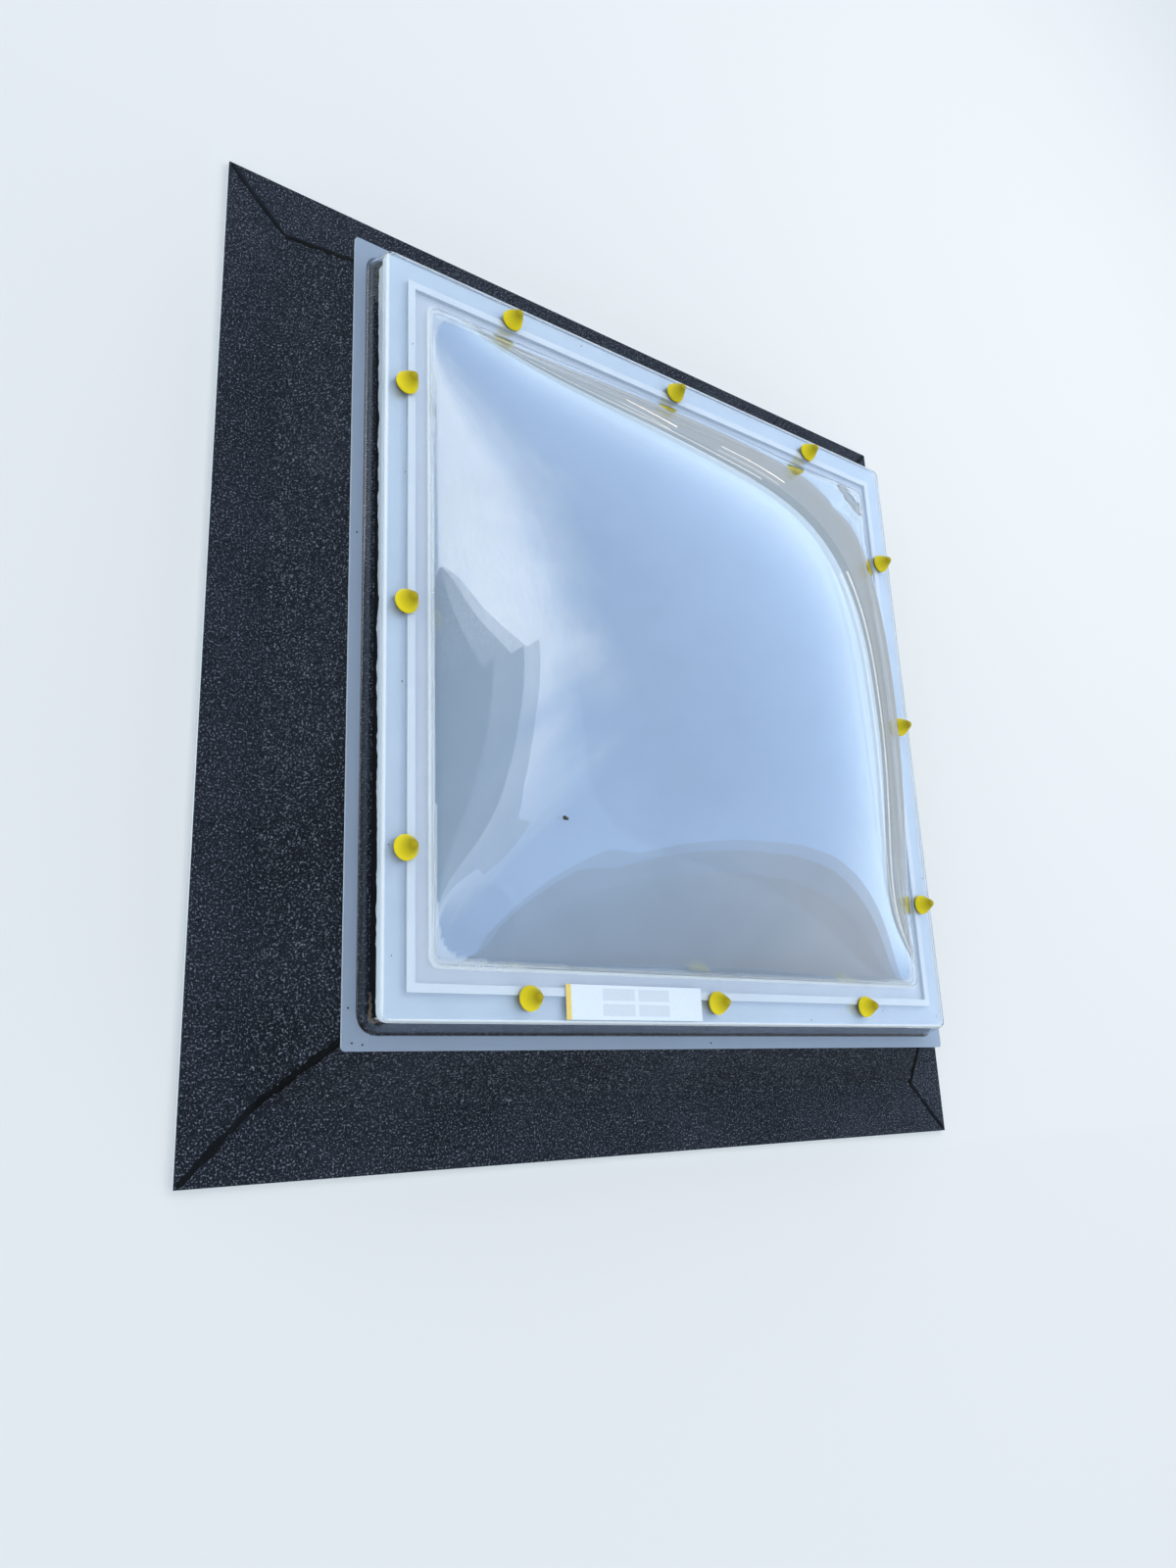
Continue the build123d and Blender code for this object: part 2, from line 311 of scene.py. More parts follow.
def kerbFinish():
    material, tree, shader = newMaterial("kerbGelcoat")
    grain = useGroup(tree, fineGrain, Patches=gelcoat["patches"])
    dust = useGroup(tree, settledDust, Amount=gelcoat["dust"])["Dust"]
    white = mixColour(tree, dust, gelcoat["white"], gelcoat["dusty"])
    place = objectPlace(tree)
    axes = axesOf(tree, place)
    below = combined(tree, "LESS_THAN", axes["Z"], torchedLine(tree, place, axes))
    # only on the upright edge's outside
    reach = useGroup(tree, squareReach)["Reach"]
    outside = combined(tree, "GREATER_THAN", reach, gelcoat["outsideReach"])
    upright = combined(tree, "GREATER_THAN", axes["Z"], gelcoat["footLevel"])
    black = combined(tree, "MULTIPLY", combined(tree, "MULTIPLY", outside, upright), below)
    smooth = mapped(tree, grain["Patch"], noiseSpan, gelcoat["roughness"])
    setInputs(tree, shader, {"Base Color": mixColour(tree, black, white, gelcoat["black"]),
                             "Roughness": combined(tree, "MAXIMUM", smooth, black),
                             "Specular IOR Level": gelcoat["specular"]})
    return material


# Roofing felt with its mineral grains

felt = {"grain": 330.0, "patches": 5.0, "coarseGrain": 170.0,
        "bitumens": ((0.008, 0.011, 0.018), (0.015, 0.020, 0.030)), "bitumenSpan": (0.35, 0.65),
        "mineral": (0.23, 0.26, 0.31), "mineralSpan": (0.55, 0.66), "mineralShare": 0.9,
        "bare": (0.005, 0.006, 0.009), "bareSpan": (0.46, 0.36), "bareShare": 0.8,
        "roughness": (0.92, 0.7), "specular": 0.18, "bump": 0.0018}


def feltFinish():
    material, tree, shader = newMaterial("roofingFelt")
    grain = useGroup(tree, fineGrain, Scale=felt["grain"], Patches=felt["patches"])
    coarse = useGroup(tree, fineGrain, Scale=felt["coarseGrain"])
    bitumen = mixColour(tree, mapped(tree, grain["Patch"], felt["bitumenSpan"]), *felt["bitumens"])
    mineral = mapped(tree, grain["Grain"], felt["mineralSpan"], (0.0, felt["mineralShare"]))
    bare = mapped(tree, coarse["Grain"], felt["bareSpan"], (0.0, felt["bareShare"]))
    colour = mixColour(tree, bare, mixColour(tree, mineral, bitumen, felt["mineral"]), felt["bare"])
    setInputs(tree, shader, {"Base Color": colour,
                             "Roughness": mapped(tree, grain["Grain"], noiseSpan, felt["roughness"]),
                             "Specular IOR Level": felt["specular"]})
    addBump(tree, shader, grain["Grain"], felt["bump"])
    return material


# Yellow plastic of the screw caps, with painted light on the flanks and painted shade towards the nose

capColour = {"paintedLitFlanks": ((0.88, 0.71, 0.010), (0.95, 0.77, 0.018)), "nose": (0.37, 0.29, 0.0),
             "noseLevels": (0.184, 0.202), "dusty": (0.46, 0.40, 0.02), "dust": 0.3,
             "grain": 300.0, "patches": 40.0, "roughness": (0.36, 0.48), "specular": 0.2, "bump": 0.0001}


def capFinish():
    material, tree, shader = newMaterial("capPlastic")
    grain = useGroup(tree, fineGrain, Scale=capColour["grain"], Patches=capColour["patches"])
    dust = useGroup(tree, settledDust, Amount=capColour["dust"])["Dust"]
    level = axesOf(tree, objectPlace(tree))["Z"]
    paintedLitFlank = mixColour(tree, mapped(tree, grain["Patch"], noiseSpan), *capColour["paintedLitFlanks"])
    # painted shade: darker towards the top, and painted light on the flanks where bounced light falls
    yellow = mixColour(tree, mapped(tree, level, capColour["noseLevels"]), paintedLitFlank, capColour["nose"])
    setInputs(tree, shader, {"Base Color": mixColour(tree, dust, yellow, capColour["dusty"]),
                             "Roughness": mapped(tree, grain["Grain"], noiseSpan, capColour["roughness"]),
                             "Specular IOR Level": capColour["specular"]})
    addBump(tree, shader, grain["Grain"], capColour["bump"])
    return material


# Plain finishes of two near shades. What one of them doesn't name is as in usualFinish.

usualFinish = {"grain": 300.0, "shadeBy": "Grain", "shadeSpan": (0.35, 0.65), "shadeShare": 1.0,
               "roughBy": "Patch", "roughness": (0.28, 0.4), "metallic": 0.0, "specular": 0.5,
               "bumpBy": "Grain", "bump": 0.0}
plainFinishes = {
    "squeezedBitumen": {"shades": ((0.003, 0.004, 0.005), (0.010, 0.012, 0.015)), "grain": 240.0,
                        "patches": 30.0, "shadeSpan": (0.45, 0.7), "shadeShare": 0.6,
                        "roughness": (0.55, 0.85), "specular": 0.15, "bumpBy": "Patch", "bump": 0.002},
    "foamTape": {"shades": ((0.80, 0.87, 0.94), (0.86, 0.92, 0.97)), "grain": 500.0, "patches": 12.0,
                 "shadeBy": "Patch", "shadeSpan": noiseSpan, "roughBy": "Grain", "roughness": (0.7, 0.85),
                 "bump": 0.0003},
    "washerRubber": {"shades": ((0.014, 0.014, 0.016), (0.035, 0.036, 0.040)), "grain": 350.0,
                     "patches": 30.0, "shadeBy": "Patch", "shadeSpan": (0.0, 1.0), "roughBy": "Grain",
                     "roughness": (0.6, 0.8)},
    "screwSteel": {"shades": ((0.50, 0.51, 0.53), (0.66, 0.67, 0.69)), "grain": 260.0, "patches": 60.0,
                   "shadeBy": "Patch", "shadeSpan": (0.0, 1.0), "roughBy": "Grain",
                   "roughness": (0.25, 0.4), "metallic": 1.0},
    "labelFilm": {"shades": ((0.66, 0.73, 0.80), (0.70, 0.77, 0.84))},
    "labelYellow": {"shades": ((0.74, 0.54, 0.12), (0.80, 0.60, 0.15))},
    "labelGrey": {"shades": ((0.50, 0.56, 0.62), (0.66, 0.72, 0.78)), "grain": 700.0},
    "darkDirt": {"shades": ((0.02, 0.018, 0.016), (0.07, 0.06, 0.05)), "grain": 500.0,
                 "roughness": (0.7, 0.95), "bump": 0.0004},
    "brownDirt": {"shades": ((0.09, 0.065, 0.045), (0.26, 0.21, 0.16)), "grain": 400.0,
                  "roughness": (0.8, 1.0), "bump": 0.0006}}
grainPerPatch = 12  # where a finish names no patches


def twoShades(name, look):
    material, tree, shader = newMaterial(name)
    patches = look.get("patches", look["grain"] / grainPerPatch)
    grain = useGroup(tree, fineGrain, Scale=look["grain"], Patches=patches)
    share = mapped(tree, grain[look["shadeBy"]], look["shadeSpan"], (0.0, look["shadeShare"]))
    setInputs(tree, shader, {"Base Color": mixColour(tree, share, *look["shades"]),
                             "Roughness": mapped(tree, grain[look["roughBy"]], noiseSpan, look["roughness"]),
                             "Metallic": look["metallic"],
                             "Specular IOR Level": look["specular"]})
    if look["bump"]:
        addBump(tree, shader, grain[look["bumpBy"]], look["bump"])
    return material


finish = {name: twoShades(name, {**usualFinish, **look}) for name, look in plainFinishes.items()}
finish.update(kerbGelcoat=kerbFinish(), roofingFelt=feltFinish(), capPlastic=capFinish())
print("materials made")


# The three blown skins, metres; halves are measured from the middle. An area takes its finish where
# it lies further out than its reach and between its levels.

pillow = {"order": 2.2, "fullness": 0.82, "spans": 72, "cornerRadius": 0.012, "shoulder": 0.0018,
          "step": 0.006, "sink": 0.001, "ringSink": 0.1, "rootBend": 0.0042, "shoulderRows": 4,
          "steep": 0.3, "slack": 0.0002}  # these two find the cut edge: steep faces at the outline

outerSkin = {"half": 0.507, "rise": 0.214, "sheet": 0.003, "flangeTop": 0.177,
             "section": [{"half": 0.580, "level": 0.177, "radius": 0.014, "bend": 0.005},
                         {"half": 0.592, "level": 0.137, "radius": 0.026, "bend": 0.004},
                         {"half": 0.614, "level": 0.137, "radius": 0.006, "bend": 0.0}],
             "finishes": {"sheet": clearAcrylic, "lip": hazedAcrylic, "cutEdge": cutEdgeAcrylic,
                          "rootBend": softBendAcrylic, "rimBend": rimBendAcrylic},
             "areas": {"lip": {"reach": 0.596, "levels": (0.0, 0.138)},
                       "rimBend": {"reach": 0.5768, "levels": (0.1724, 1.0)}}}
middleSkin = {"half": 0.502, "rise": 0.195, "sheet": 0.0025, "flangeTop": 0.171,
              "section": [{"half": 0.5775, "level": 0.171, "radius": 0.012, "bend": 0.0}],
              "finishes": {"sheet": clearAcrylic, "cutEdge": cutEdgeAcrylic, "rootBend": softBendAcrylic},
              "areas": {}}
innerSkin = {"half": 0.497, "rise": 0.160, "sheet": 0.0025, "flangeTop": 0.1655,
             "section": [{"half": 0.579, "level": 0.1655, "radius": 0.012, "bend": 0.0}],
             "finishes": {"sheet": opalAcrylic, "flange": opalPaintedLit, "cutEdge": opalPaintedLit,
                          "rootBend": opalAcrylic},
             "areas": {"flange": {"reach": 0.4985, "levels": (0.0, 1.0)}}}


def pillowHeight(u, v):
    body = (1 - min(abs(u), 1.0) ** pillow["order"]) * (1 - min(abs(v), 1.0) ** pillow["order"])
    return max(body, 0.0) ** pillow["fullness"]


def blownPillow(skin, half, radius, stepTop):
    # the dome above the step, on a grid that is closer towards the sides
    straight = half - radius
    bm = bmesh.new()
    bmesh.ops.create_grid(bm, x_segments=pillow["spans"], y_segments=pillow["spans"], size=1.0)
    for vert in bm.verts:
        x, y = (half * math.sin(math.pi / 2 * c) for c in vert.co.xy)
        reach = Vector((max(abs(x) - straight, 0.0), max(abs(y) - straight, 0.0)))
        if reach.x > 0 and reach.y > 0:  # rounds the corner off
            reach *= max(reach) / reach.length
            x = math.copysign(straight + reach.x, x)
            y = math.copysign(straight + reach.y, y)
        vert.co = (x, y, stepTop - pillow["sink"] + skin["rise"] * pillowHeight(x / half, y / half))
    ring = [edge for edge in bm.edges if edge.is_boundary]
    for vert in {vert for edge in ring for vert in edge.verts}:
        vert.co.z = stepTop - pillow["ringSink"] * pillow["shoulder"]
    return bm, ring


def skinRows(skin, half, radius, stepTop):
    # the rings below the pillow: rounded shoulder, step, flange and what follows it
    rows = []
    for i in range(1, pillow["shoulderRows"] + 1):
        angle = math.pi / 2 * i / pillow["shoulderRows"]
        rows.append({"half": half + pillow["shoulder"] * math.sin(angle),
                     "radius": radius + pillow["shoulder"] * math.sin(angle),
                     "level": stepTop - pillow["shoulder"] * (1 - math.cos(angle))})
    root = {"half": skin["half"], "level": skin["flangeTop"], "radius": pillow["cornerRadius"],
            "bend": min(pillow["rootBend"], pillow["step"] - pillow["shoulder"])}
    return rows + bentRows([{**root, "level": stepTop, "bend": 0.0}, root] + skin["section"])


def finishOf(skin, face, stepTop):
    spot = face.calc_center_median()
    reach = max(abs(spot.x), abs(spot.y))
    if abs(face.normal.z) < pillow["steep"] and reach > skin["section"][-1]["half"] - pillow["slack"]:
        return "cutEdge"
    for name, area in skin["areas"].items():
        low, high = area["levels"]
        if reach > area["reach"] and low < spot.z < high:
            return name
    if spot.z < stepTop - pillow["sink"] and reach < skin["half"] + pillow["rootBend"]:
        return "rootBend"
    return "sheet"


def blownSkin(name, skin, node):
    stepTop = skin["flangeTop"] + pillow["step"]
    half = skin["half"] - pillow["shoulder"]
    radius = pillow["cornerRadius"] - pillow["shoulder"]
    bm, ring = blownPillow(skin, half, radius, stepTop)
    old = {"half": half, "radius": radius}
    for row in skinRows(skin, half, radius, stepTop):
        grown = bmesh.ops.extrude_edge_only(bm, edges=ring)["geom"]
        fresh = [part for part in grown if isinstance(part, bmesh.types.BMVert)]
        ring = [part for part in grown if isinstance(part, bmesh.types.BMEdge) and part.is_boundary]
        movedRing(fresh, old, row)
        old = row
    facedOutwards(bm)
    bmesh.ops.solidify(bm, geom=bm.faces[:], thickness=skin["sheet"])
    order = list(skin["finishes"])
    for face in bm.faces:
        face.material_index = order.index(finishOf(skin, face, stepTop))
    piece = meshObject(name, bm, skin["finishes"].values())
    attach(piece, "root")
    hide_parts(node)
    levels = [vert.co.z for vert in piece.data.vertices]
    print(name, len(piece.data.polygons), "faces, levels", round(min(levels), 4), round(max(levels), 4))


blownSkin("outerDome", outerSkin, "outer_dome")
blownSkin("middleDome", middleSkin, "middle_dome")
blownSkin("innerDome", innerSkin, "inner_dome")


# Bitumen squeezed out along the felt's corner seams. Scales are of its noise.

cornerSeam = {"top": (0.5746, 0.135), "foot": (0.6779, 0.009), "end": 0.768, "bend": 0.014, "width": 0.0095,
              "ragged": 0.6, "leastWidth": 0.25, "proud": 0.0014, "sunk": 0.0012, "lumps": 0.5,
              "rows": 90, "across": 6, "depth": 0.0016,
              "wanderScale": 55.0, "raggedScale": 140.0, "lumpScale": 90.0}


def evenSpots(points, count):
    # evenly spaced places along a path, each with the way that it goes on
    lengths = [(after - before).length for before, after in zip(points, points[1:])]
    spots = []
    index, passed = 0, 0.0
    for i in range(count + 1):
        wanted = sum(lengths) * i / count
        while index < len(lengths) - 1 and wanted > passed + lengths[index]:
            passed += lengths[index]
            index += 1
        run = points[index + 1] - points[index]
        spots.append((points[index] + run * ((wanted - passed) / lengths[index]), run.normalized()))
    return spots


def seamPath():
    # down the felt's corner as half width and level, over the foot's bend and out to the end
    top, foot = cornerSeam["top"], cornerSeam["foot"]
    corners = [{"half": top[0], "level": top[1], "radius": 0.0, "bend": 0.0},
               {"half": foot[0], "level": foot[1], "radius": 0.0, "bend": cornerSeam["bend"]},
               {"half": cornerSeam["end"], "level": foot[1], "radius": 0.0, "bend": 0.0}]
    rows = corners[:1] + bentRows(corners)
    return evenSpots([Vector((row["half"], row["level"])) for row in rows], cornerSeam["rows"])


def seamBead(number, sideX, sideY):
    spots = seamPath()
    bm = bmesh.new()
    bmesh.ops.create_grid(bm, x_segments=cornerSeam["rows"], y_segments=cornerSeam["across"], size=1.0)
    for vert in bm.verts:
        spot, ahead = spots[round((vert.co.x + 1) / 2 * cornerSeam["rows"])]
        across = vert.co.y
        side = math.copysign(1.0, across)
        wander = wobble((spot.x, spot.y, 0.0), cornerSeam["wanderScale"], 3.0 * number)
        tatters = wobble((spot.x, spot.y, side), cornerSeam["raggedScale"], number)
        ragged = 1 + cornerSeam["ragged"] * (wander + tatters)
        back = cornerSeam["width"] * max(ragged, cornerSeam["leastWidth"]) * abs(across)
        lump = wobble((spot.x, spot.y, across), cornerSeam["lumpScale"], 5.0 + number)
        proud = cornerSeam["proud"] * (1 + cornerSeam["lumps"] * lump)
        lift = proud * (1 - across ** 2) - cornerSeam["sunk"] * across ** 2
        faceX = Vector((-ahead.y, 0.0, ahead.x)) * (0.5 + 0.5 * across)
        faceY = Vector((0.0, -ahead.y, ahead.x)) * (0.5 - 0.5 * across)
        place = Vector((spot.x - back * (across < 0), spot.x - back * (across > 0), spot.y))
        place += (faceX + faceY).normalized() * lift
        vert.co = (sideX * place.x, sideY * place.y, place.z)
    facedOutwards(bm)
    bmesh.ops.solidify(bm, geom=bm.faces[:], thickness=cornerSeam["depth"])
    piece = meshObject(f"cornerSeam_{number}", bm, [finish["squeezedBitumen"]])
    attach(piece, "root")


for number, (sideX, sideY) in enumerate(((-1, -1), (1, -1), (1, 1), (-1, 1)), start=1):
    seamBead(number, sideX, sideY)
print("corner seams laid")


# Blank label on the front flange, with plain fields of colour

label = {"low": (-0.291, -0.575), "size": (0.259, 0.050), "thick": 0.0002, "ink": 0.00005,
         "level": outerSkin["flangeTop"], "corner": 0.0012, "cornerSteps": 4, "bar": 0.009,
         "fieldColumns": (0.066, 0.133), "fieldRows": (0.006, 0.028), "fieldSize": (0.060, 0.017)}


def plate(name, low, size, level, thick, material, corner=0.0):
    bm = bmesh.new()
    bmesh.ops.create_cube(bm, size=1.0)
    for vert in bm.verts:
        vert.co = (low[0] + size[0] * (vert.co.x + 0.5), low[1] + size[1] * (vert.co.y + 0.5),
                   level + thick * (vert.co.z + 0.5))
    if corner:
        upright = [edge for edge in bm.edges if abs(edge.verts[0].co.z - edge.verts[1].co.z) > thick / 2]
        bmesh.ops.bevel(bm, geom=upright, offset=corner, segments=label["cornerSteps"], profile=0.5,
                        affect="EDGES", material=-1)
    piece = meshObject(name, bm, [material])
    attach(piece, "root")


def blankLabel():
    (left, front), (width, depth) = label["low"], label["size"]
    inkLevel = label["level"] + label["thick"]
    plate("labelSheet", (left, front), (width, depth), label["level"], label["thick"],
          finish["labelFilm"], label["corner"])
    plate("labelBar", (left, front), (label["bar"], depth), inkLevel, label["ink"],
          finish["labelYellow"], label["corner"])
    fields = [(left + x, front + y) for x in label["fieldColumns"] for y in label["fieldRows"]]
    for number, low in enumerate(fields, start=1):
        plate(f"labelField_{number}", low, label["fieldSize"], inkLevel, label["ink"], finish["labelGrey"])


blankLabel()
print("label set")


# Dirt that has settled on the sheets and in the front left corner

dirt = {"crumb": (-0.354, -0.312), "crumbSize": 0.0034, "crumbSquash": 0.5, "crumbLift": 0.0004,
        "secondCrumb": (0.004, -0.001, 0.001), "secondCrumbShare": 0.6,
        "gritSize": 0.0009, "gritVariety": 0.4, "gritScale": 90.0, "gritLift": 0.3, "lipGritShare": 1.5,
        "lumpiness": 0.45, "lumpScale": 1.3, "smoothAngle": 60.0,
        "flangeGrit": ((-0.566, -0.497), (-0.536, 0.428), (-0.552, -0.120), (0.556, -0.560), (-0.548, 0.206),
                       (0.215, -0.571), (-0.571, -0.352), (0.402, -0.553), (0.566, -0.301), (-0.210, 0.561)),
        "lipGrit": ((-0.606, -0.560), (-0.600, -0.604), (-0.585, -0.606), (-0.604, 0.110), (0.020, -0.605))}
clump = {"lumps": 26, "size": 0.0032, "squash": 0.9, "reach": 0.5755, "sway": 0.0022, "swayScale": 9.0,
         "level": 0.1385, "heap": 0.009, "heapScale": 6.0, "alongFront": 0.028, "alongLeft": 0.034,
         "thinning": 0.5}


def addLump(bm, place, size, seed, squash=0.6):
    made = bmesh.ops.create_icosphere(bm, subdivisions=2, radius=size)["verts"]
    for vert in made:
        vert.co *= 1 + dirt["lumpiness"] * wobble(vert.co / size, dirt["lumpScale"], seed)
        vert.co.z *= squash
        vert.co += Vector(place)


def dirtPiece(name, bm, material):
    piece = meshObject(name, bm, [material], dirt["smoothAngle"])
    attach(piece, "root")


def settledGrit():
    bm = bmesh.new()
    for i, (x, y) in enumerate(dirt["flangeGrit"]):
        variety = dirt["gritVariety"] * wobble((x, y, 0.0), dirt["gritScale"], i)
        size = dirt["gritSize"] * (1 + variety)
        addLump(bm, (x, y, outerSkin["flangeTop"] + dirt["gritLift"] * size), size, i)
    for i, (x, y) in enumerate(dirt["lipGrit"], start=20):
        size = dirt["lipGritShare"] * dirt["gritSize"]
        addLump(bm, (x, y, outerSkin["section"][-1]["level"] + dirt["gritLift"] * size), size, i)
    dirtPiece("settledGrit", bm, finish["darkDirt"])


def domeCrumb():
    bm = bmesh.new()
    x, y = dirt["crumb"]
    base = outerSkin["flangeTop"] + pillow["step"] - pillow["sink"]
    level = base + outerSkin["rise"] * pillowHeight(x / outerSkin["half"], y / outerSkin["half"])
    addLump(bm, (x, y, level + dirt["crumbLift"]), dirt["crumbSize"], 3.0, dirt["crumbSquash"])
    aside, ahead, up = dirt["secondCrumb"]
    addLump(bm, (x + aside, y + ahead, level + up), dirt["secondCrumbShare"] * dirt["crumbSize"], 7.0,
            dirt["crumbSquash"])
    dirtPiece("domeCrumb", bm, finish["darkDirt"])


def cornerDirt():
    # a brown clump against the kerb's upright edge, on the felt's top
    bm = bmesh.new()
    for i in range(clump["lumps"]):
        along = i / (clump["lumps"] - 1)
        reach = clump["reach"] + clump["sway"] * wobble((along, 0.0, 0.0), clump["swayScale"], 2.0)
        rise = clump["level"] + clump["heap"] * abs(wobble((along, 1.0, 0.0), clump["heapScale"], 4.0))
        turn = 2 * along - 1
        x = -reach + clump["alongFront"] * max(turn, 0.0)
        y = -reach + clump["alongLeft"] * max(-turn, 0.0)
        size = clump["size"] * (1 - clump["thinning"] * abs(turn))
        addLump(bm, (x, y, rise), size, i, clump["squash"])
    dirtPiece("cornerDirt", bm, finish["brownDirt"])


settledGrit()
domeCrumb()
cornerDirt()
print("dirt placed")


# CAD nodes that keep their own shape, by a word in their names

nodeFinishes = {"kerb": "kerbGelcoat", "felt_": "roofingFelt", "_tape_": "foamTape",
                "screw_cap_": "capPlastic", "fixing_screws": "screwSteel", "sealing_washers": "washerRubber"}
for name, node in nodes.items():
    for word, material in nodeFinishes.items():
        if word in name:
            node.data.materials.clear()
            node.data.materials.append(finish[material])
print("node finishes set")


# Plain studio: floor, sky and what the glossy sheets mirror

studio = {"floor": 14.0, "floorLevel": -0.0005, "floorColour": (0.70, 0.70, 0.69), "floorPatch": 1.02,
          "floorPatches": 0.4, "floorRoughness": 0.9,
          "skyColour": (0.84, 0.92, 1.0), "skyStrength": 1.2, "background": (0.86, 0.88, 0.90)}
mirrored = {"sky": ((0.03, (1.20, 1.50, 1.78)), (0.45, (0.74, 1.02, 1.56)), (0.92, (0.57, 0.80, 1.31))),
            "waver": (-0.07, 0.07), "grainSpan": (0.35, 0.65), "grain": (0.74, 1.16),
            "glowColour": (2.7, 2.75, 2.7),
            "glows": ({"towards": (-0.7143, 0.3798, 0.5878), "reach": (0.795, 0.985), "strength": 0.98},
                      {"towards": (-0.4065, 0.0142, 0.9135), "reach": (0.93, 0.995), "strength": 0.35})}


def studioFloor():
    bm = bmesh.new()
    bmesh.ops.create_grid(bm, x_segments=1, y_segments=1, size=studio["floor"])
    material, tree, shader = newMaterial("studioFloor")
    patch = useGroup(tree, fineGrain, Patches=studio["floorPatches"])["Patch"]
    paler = tuple(studio["floorPatch"] * c for c in studio["floorColour"])
    setInputs(tree, shader, {"Base Color": mixColour(tree, patch, studio["floorColour"], paler),
                             "Roughness": studio["floorRoughness"]})
    floor = meshObject("studioFloor", bm, [material])
    floor.location.z = studio["floorLevel"]


def onlyMirrored(tree):
    # 1 on paths that a glossy sheet has turned and nothing matt has scattered
    path = addNode(tree, "ShaderNodeLightPath")
    turned = combined(tree, "GREATER_THAN", path.outputs["Glossy Depth"], 0.5)
    clean = combined(tree, "LESS_THAN", path.outputs["Diffuse Depth"], 0.5)
    return combined(tree, "MULTIPLY", turned, clean)


def skyColours(tree):
    # paler low down, with two soft glows
    place = addNode(tree, "ShaderNodeTexCoord").outputs["Generated"]
    ramp = addNode(tree, "ShaderNodeValToRGB", {"Fac": axesOf(tree, place)["Z"]})
    steps = ramp.color_ramp.elements
    steps.new(0.5)
    for step, (height, colour) in zip(steps, mirrored["sky"]):
        step.position = height
        step.color = (*colour, 1.0)
    patchy = addNode(tree, "ShaderNodeTexNoise", {"Vector": place, "Scale": 4.0, "Detail": 6.0})
    uneven = mapped(tree, patchy.outputs["Fac"], noiseSpan, mirrored["waver"])
    fine = addNode(tree, "ShaderNodeTexNoise", {"Vector": place, "Scale": 75.0, "Detail": 2.0})
    grained = mapped(tree, fine.outputs["Fac"], mirrored["grainSpan"], mirrored["grain"])
    colour = ramp.outputs["Color"]
    for glow in mirrored["glows"]:
        near = addNode(tree, "ShaderNodeVectorMath", {0: place, 1: glow["towards"]}, operation="DOT_PRODUCT")
        wavy = combined(tree, "ADD", uneven, near.outputs["Value"])
        share = mapped(tree, wavy, glow["reach"], (0.0, glow["strength"]))
        colour = mixColour(tree, combined(tree, "MULTIPLY", share, grained), colour, mirrored["glowColour"])
    return colour


def studioSky():
    world = bpy.data.worlds.new("studioSky")
    bpy.context.scene.world = world
    world.use_nodes = True
    tree = world.node_tree
    light = tree.nodes["Background"]
    setInputs(tree, light, {"Color": studio["skyColour"], "Strength": studio["skyStrength"]})
    seen = addNode(tree, "ShaderNodeBackground", {"Color": studio["background"]})
    glossy = addNode(tree, "ShaderNodeBackground", {"Color": skyColours(tree)})
    lit = mixShaders(tree, onlyMirrored(tree), light.outputs["Background"], glossy.outputs["Background"])
    path = addNode(tree, "ShaderNodeLightPath")
    surface = mixShaders(tree, path.outputs["Is Camera Ray"], lit, seen.outputs["Background"])
    setInputs(tree, tree.nodes["World Output"], {"Surface": surface})


# Flags and strips that show only as reflections in the glossy sheets. Each stands upright from its
# first place on towards one side; its corners are metres along and up. The last two lie on the floor.

flags = {"leftFlag": {"shade": (0.26, 0.27, 0.24), "first": (-3.0, -6.0), "towards": (0.0, 1.0),
                      "corners": ((0.0, 0.0), (7.25, 0.0), (7.36, 0.77), (7.44, 1.48), (7.46, 2.3),
                                  (7.50, 3.2), (7.52, 3.93), (7.64, 4.23), (7.77, 4.55), (7.58, 4.66),
                                  (7.17, 4.84), (6.74, 5.0), (6.2, 5.40), (5.6, 6.1), (4.9, 7.4),
                                  (4.0, 10.0), (0.0, 14.0))},
         "frontFlag": {"shade": (0.13, 0.07, 0.01), "farShade": (0.47, 0.39, 0.28),
                       "first": (-6.0, -3.0), "towards": (1.0, 0.0),
                       "corners": ((0.0, 0.0), (20.0, 0.0), (20.0, 2.2), (18.0, 2.9), (14.5, 4.05),
                                   (12.0, 4.35), (7.5, 4.4), (6.9, 5.2), (0.0, 5.2))},
         "rightFlag": {"shade": (0.36, 0.40, 0.40), "first": (5.0, -4.0), "towards": (0.0, 1.0),
                       "corners": ((0.0, 0.0), (10.0, 0.0), (10.0, 0.6), (0.0, 0.5))},
         "backFlag": {"shade": (0.36, 0.40, 0.40), "first": (-2.0, 5.0), "towards": (1.0, 0.0),
                      "corners": ((0.0, 0.0), (8.0, 0.0), (8.0, 0.6), (0.0, 0.5))},
         "backGlint": {"shade": (2.8, 2.5, 2.1), "first": (0.95, 1.6), "towards": (1.0, 0.0),
                       "corners": ((0.0, 0.055), (0.42, 0.055), (0.42, 0.075), (0.0, 0.068))},
         "middleGlint": {"shade": (3.6, 3.2, 2.7), "first": (0.50, 1.6), "towards": (1.0, 0.0),
                         "corners": ((0.0, 0.010), (0.20, 0.112), (0.20, 0.138), (0.0, 0.026))},
         "rightStrip": {"shade": (1.5, 1.5, 1.45), "first": (4.8, -2.0), "towards": (0.0, 1.0),
                        "corners": ((0.0, 0.17), (5.0, 0.17), (5.0, 0.30), (0.0, 0.26))},
         "backStrip": {"shade": (1.5, 1.5, 1.45), "first": (-1.0, 4.8), "towards": (1.0, 0.0),
                       "corners": ((0.0, 0.17), (5.0, 0.17), (5.0, 0.26), (0.0, 0.23))}}
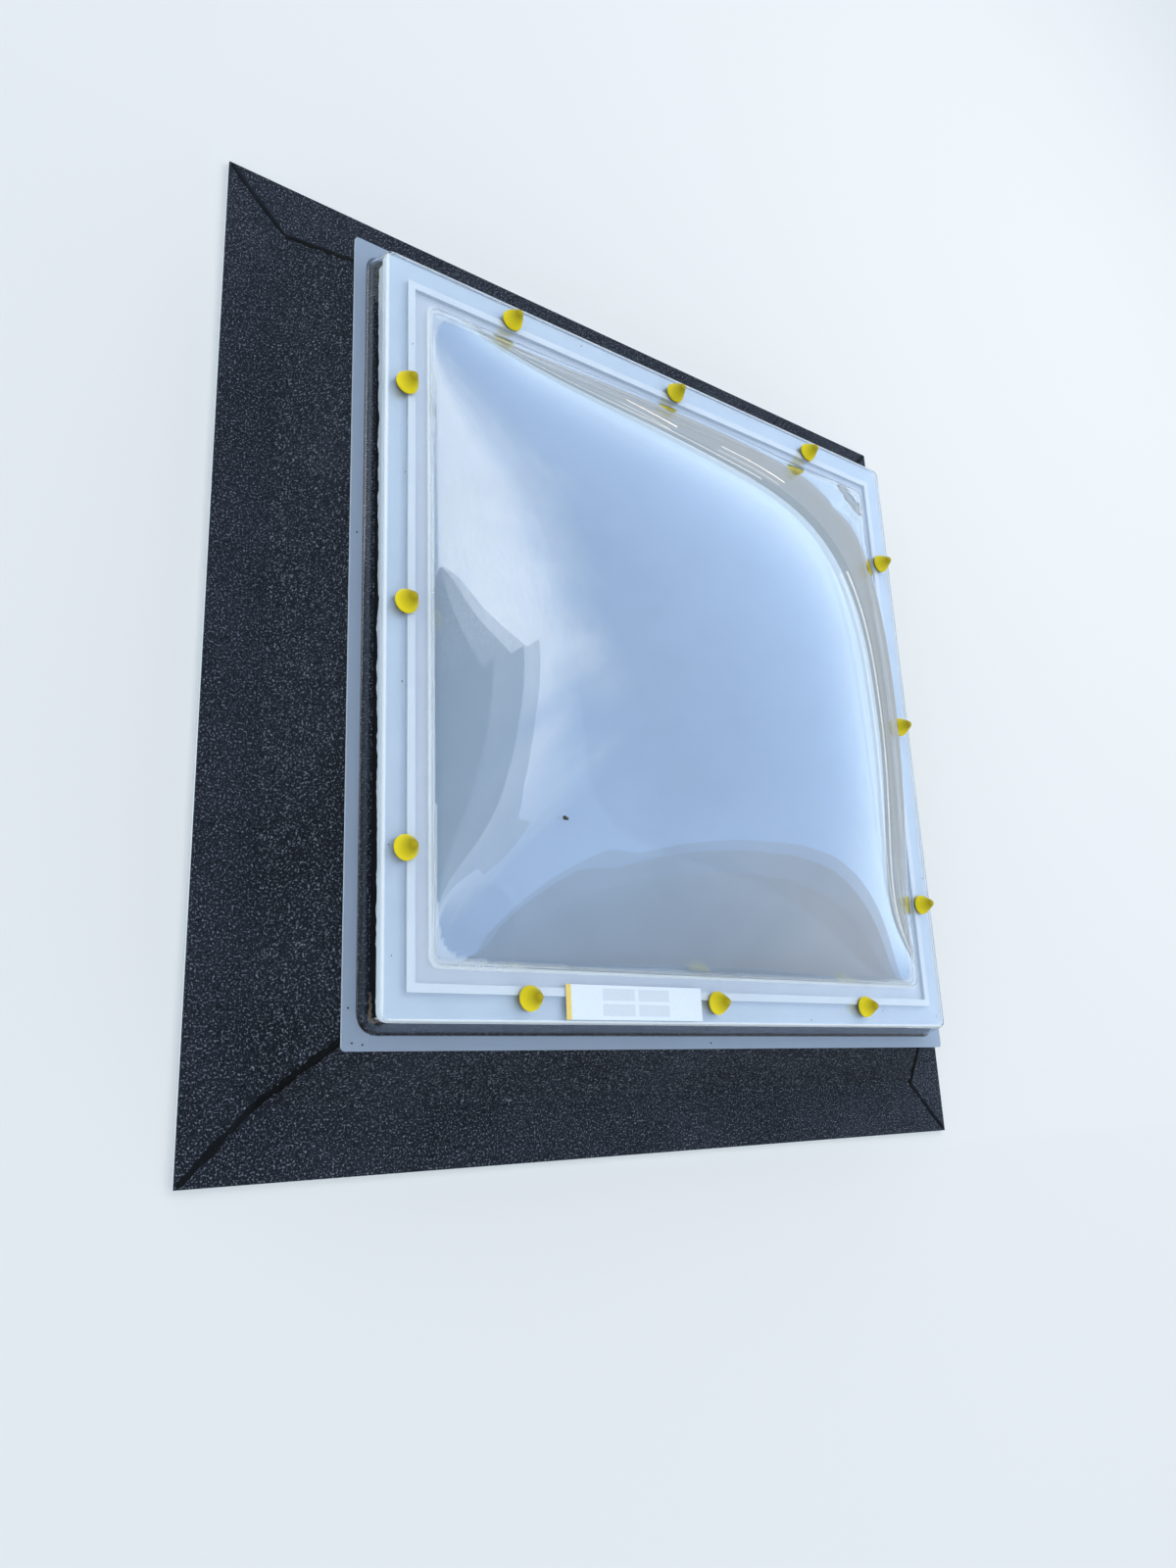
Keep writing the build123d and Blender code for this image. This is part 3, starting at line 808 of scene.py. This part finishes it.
floorFlags = {"farFloorFlag": {"shade": (0.50, 0.54, 0.56),
                               "corners": ((0.80, -3.0), (6.0, -3.0), (6.0, 6.0), (-3.0, 6.0),
                                           (-3.0, 0.80), (0.80, 0.80))},
              "nearFloorFlag": {"shade": (0.012, 0.015, 0.02),
                                "corners": ((-0.80, 3.0), (-2.5, 3.0), (-2.5, -2.5), (3.0, -2.5),
                                            (3.0, -0.80), (-0.80, -0.80))}}
floorFlagLevel = 0.0005
flagFade = (1.0, 4.5)  # from here to there along X a flag goes over to its far shade


def studioFlag(name, flag, corners):
    bm = bmesh.new()
    bm.faces.new([bm.verts.new(corner) for corner in corners])
    material, tree, shader = newMaterial(name)
    fade = mapped(tree, axesOf(tree, objectPlace(tree))["X"], flagFade)
    colour = mixColour(tree, fade, flag["shade"], flag.get("farShade", flag["shade"]))
    glow = addNode(tree, "ShaderNodeEmission", {"Color": colour})
    unseen = addNode(tree, "ShaderNodeBsdfTransparent")
    surface = mixShaders(tree, onlyMirrored(tree), unseen.outputs["BSDF"], glow.outputs["Emission"])
    setInputs(tree, tree.nodes["Material Output"], {"Surface": surface})
    material.cycles.emission_sampling = "NONE"
    card = meshObject(name, bm, [material])
    card.visible_camera = False
    card.visible_diffuse = False
    card.visible_shadow = False


def studioFlags():
    for name, flag in flags.items():
        (x, y), (alongX, alongY) = flag["first"], flag["towards"]
        studioFlag(name, flag, [(x + run * alongX, y + run * alongY, up) for run, up in flag["corners"]])
    for name, flag in floorFlags.items():
        studioFlag(name, flag, [(x, y, floorFlagLevel) for x, y in flag["corners"]])


softbox = {"place": (2.3, 1.9, 3.6), "aim": (0.0, 0.0, 0.2), "size": (3.2, 3.2), "power": 42.0,
           "colour": (1.0, 0.99, 0.97)}


def mainSoftbox():
    lamp = bpy.data.lights.new("mainSoftbox", "AREA")
    lamp.shape = "RECTANGLE"
    lamp.size, lamp.size_y = softbox["size"]
    lamp.energy = softbox["power"]
    lamp.color = softbox["colour"]
    holder = bpy.data.objects.new("mainSoftbox", lamp)
    bpy.context.scene.collection.objects.link(holder)
    holder.location = softbox["place"]
    beam = Vector(softbox["aim"]) - Vector(softbox["place"])
    holder.rotation_euler = beam.to_track_quat("-Z", "Y").to_euler()
    holder.visible_glossy = False
    holder.visible_transmission = False


studioFloor()
studioSky()
studioFlags()
mainSoftbox()
print("studio lit")


# Camera at the photograph's angle

view = {"place": (-1.2547, -0.6881, 1.4863), "lens": 26.1, "sensor": 36.0,
        "axes": ((0.79544, -0.04059, 0.60467), (-0.13222, 0.96209, 0.23853), (-0.59143, -0.26968, 0.75992))}


def makeCamera():
    data = bpy.data.cameras.new("photoView")
    data.lens = view["lens"]
    data.sensor_width = view["sensor"]
    data.sensor_fit = "AUTO"
    camera = bpy.data.objects.new("photoView", data)
    bpy.context.scene.collection.objects.link(camera)
    turn = Matrix(view["axes"]).transposed().to_4x4()
    camera.matrix_world = Matrix.Translation(view["place"]) @ turn
    bpy.context.scene.camera = camera


makeCamera()
bpy.context.scene.view_settings.view_transform = "Standard"

print("scene ready")
